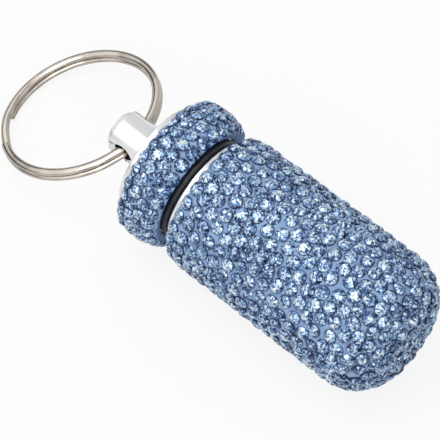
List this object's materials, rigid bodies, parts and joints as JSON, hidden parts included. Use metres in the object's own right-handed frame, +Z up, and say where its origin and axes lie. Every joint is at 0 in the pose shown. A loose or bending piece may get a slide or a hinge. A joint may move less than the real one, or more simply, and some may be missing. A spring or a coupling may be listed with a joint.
{
  "type": "pill capsule container",
  "caption": "Screw-top metal pill capsule coated with small set stones, with a rubber seal, a cap with a drilled boss and a split key ring.",
  "frame": {"origin": "middle of the bounding box's bottom face, on the surface that the capsule lies on", "axes": "+X along the capsule's long axis towards its closed end, +Z up"},
  "size_m": [0.0742, 0.025, 0.0228],
  "materials": {
    "polished_aluminium": "polished",
    "putty": "matt",
    "stones": "faceted, foiled behind",
    "black_rubber": "satin",
    "nickel": "polished nickel plate"
  },
  "bodies": {
    "container": {"body_tube": "polished_aluminium", "body_putty": "putty", "body_stones": "stones"},
    "seal": {"o_ring": "black_rubber"},
    "cap": {"cap_shell": "polished_aluminium", "cap_putty": "putty", "cap_stones": "stones"},
    "key_ring": {"split_ring": "nickel"}
  },
  "joints": [
    {"name": "cap_rise", "type": "slide", "parent": "container", "child": "seal", "axis": [-1, 0, 0], "range_m": [0, 0.0068]},
    {"name": "cap_turn", "type": "hinge", "parent": "seal", "child": "cap", "pos_m": [-0.00231, 0, 0.01138], "axis": [-1, 0, 0], "range_deg": [0, 1620]},
    {"name": "ring_swing", "type": "hinge", "parent": "cap", "child": "key_ring", "pos_m": [-0.01481, 0, 0.01138], "axis": [0, 1, 0], "range_deg": [-105, 155]}
  ],
  "couplings": [
    {"joint": "cap_rise", "follows": "cap_turn", "m_per_rad": 0.00023873}
  ]
}
